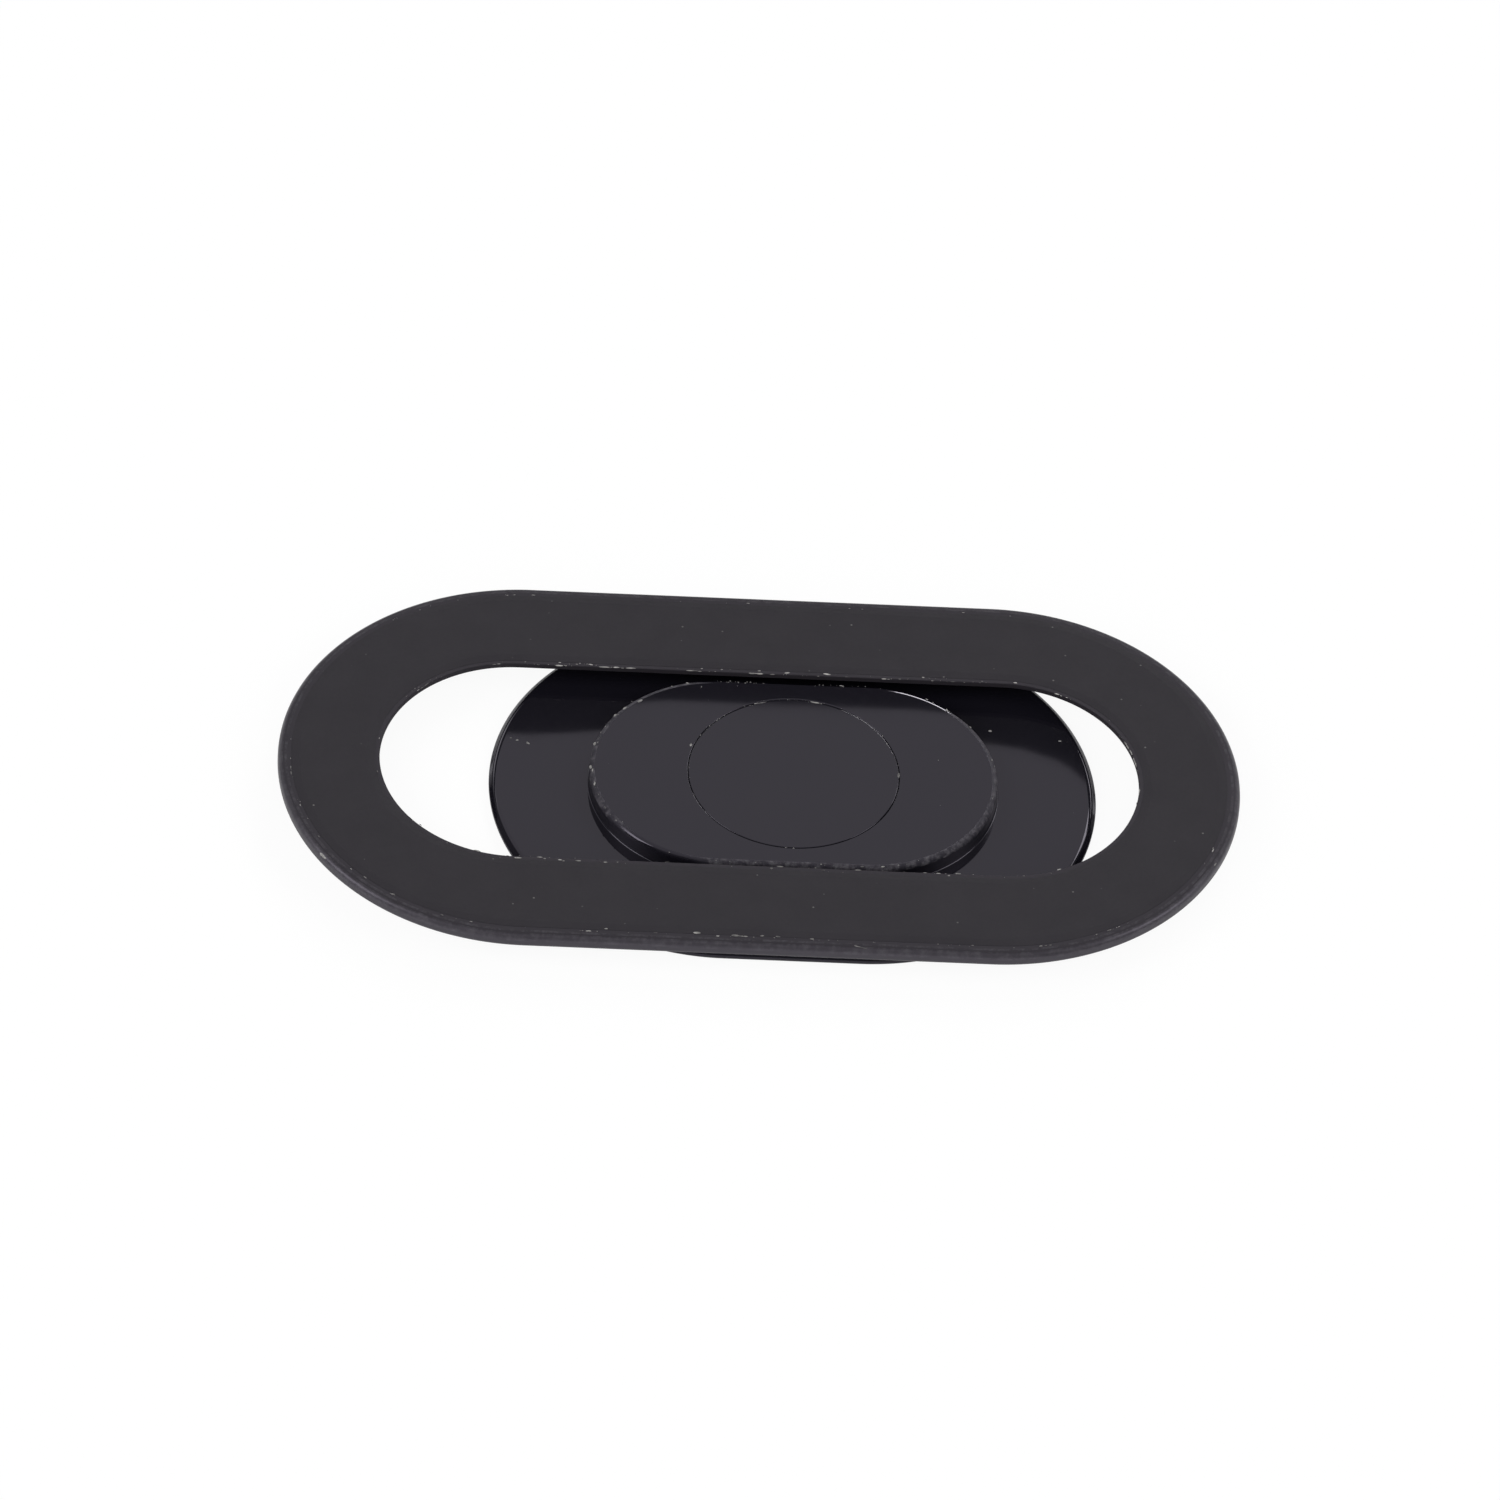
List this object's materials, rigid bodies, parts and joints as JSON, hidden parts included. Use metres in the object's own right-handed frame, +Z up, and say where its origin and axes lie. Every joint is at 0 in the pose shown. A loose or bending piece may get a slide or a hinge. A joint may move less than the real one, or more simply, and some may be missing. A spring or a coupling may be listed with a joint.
{
  "type": "webcam cover slider",
  "caption": "Slim stadium-shaped webcam cover: a slotted steel ring with adhesive on its back and a magnetic shutter plate that slides along the slot to open or close the camera.",
  "frame": {"origin": "middle of the frame's plan, at the height of the surface that the cover lies on, front down", "axes": "+X along the slot, +Z up and out of the adhesive back, +Y across the slot"},
  "size_m": [0.0364, 0.0188, 0.0014],
  "materials": {
    "painted_steel": "fine matte black paint on stamped steel",
    "adhesive_tape": "matte black double-sided tape, die-cut",
    "gloss_abs": "glossy black moulded plastic",
    "coated_magnet": "glossy black epoxy coating on a disc magnet"
  },
  "bodies": {
    "frame_body": {"frame": "painted_steel", "adhesive_ring": "adhesive_tape"},
    "slider_body": {"slider_cover": "gloss_abs", "magnet_disc": "coated_magnet"}
  },
  "joints": [
    {"name": "cover_slide", "type": "slide", "parent": "frame_body", "child": "slider_body", "axis": [1, 0, 0], "range_m": [-0.0079, 0.0053]}
  ]
}
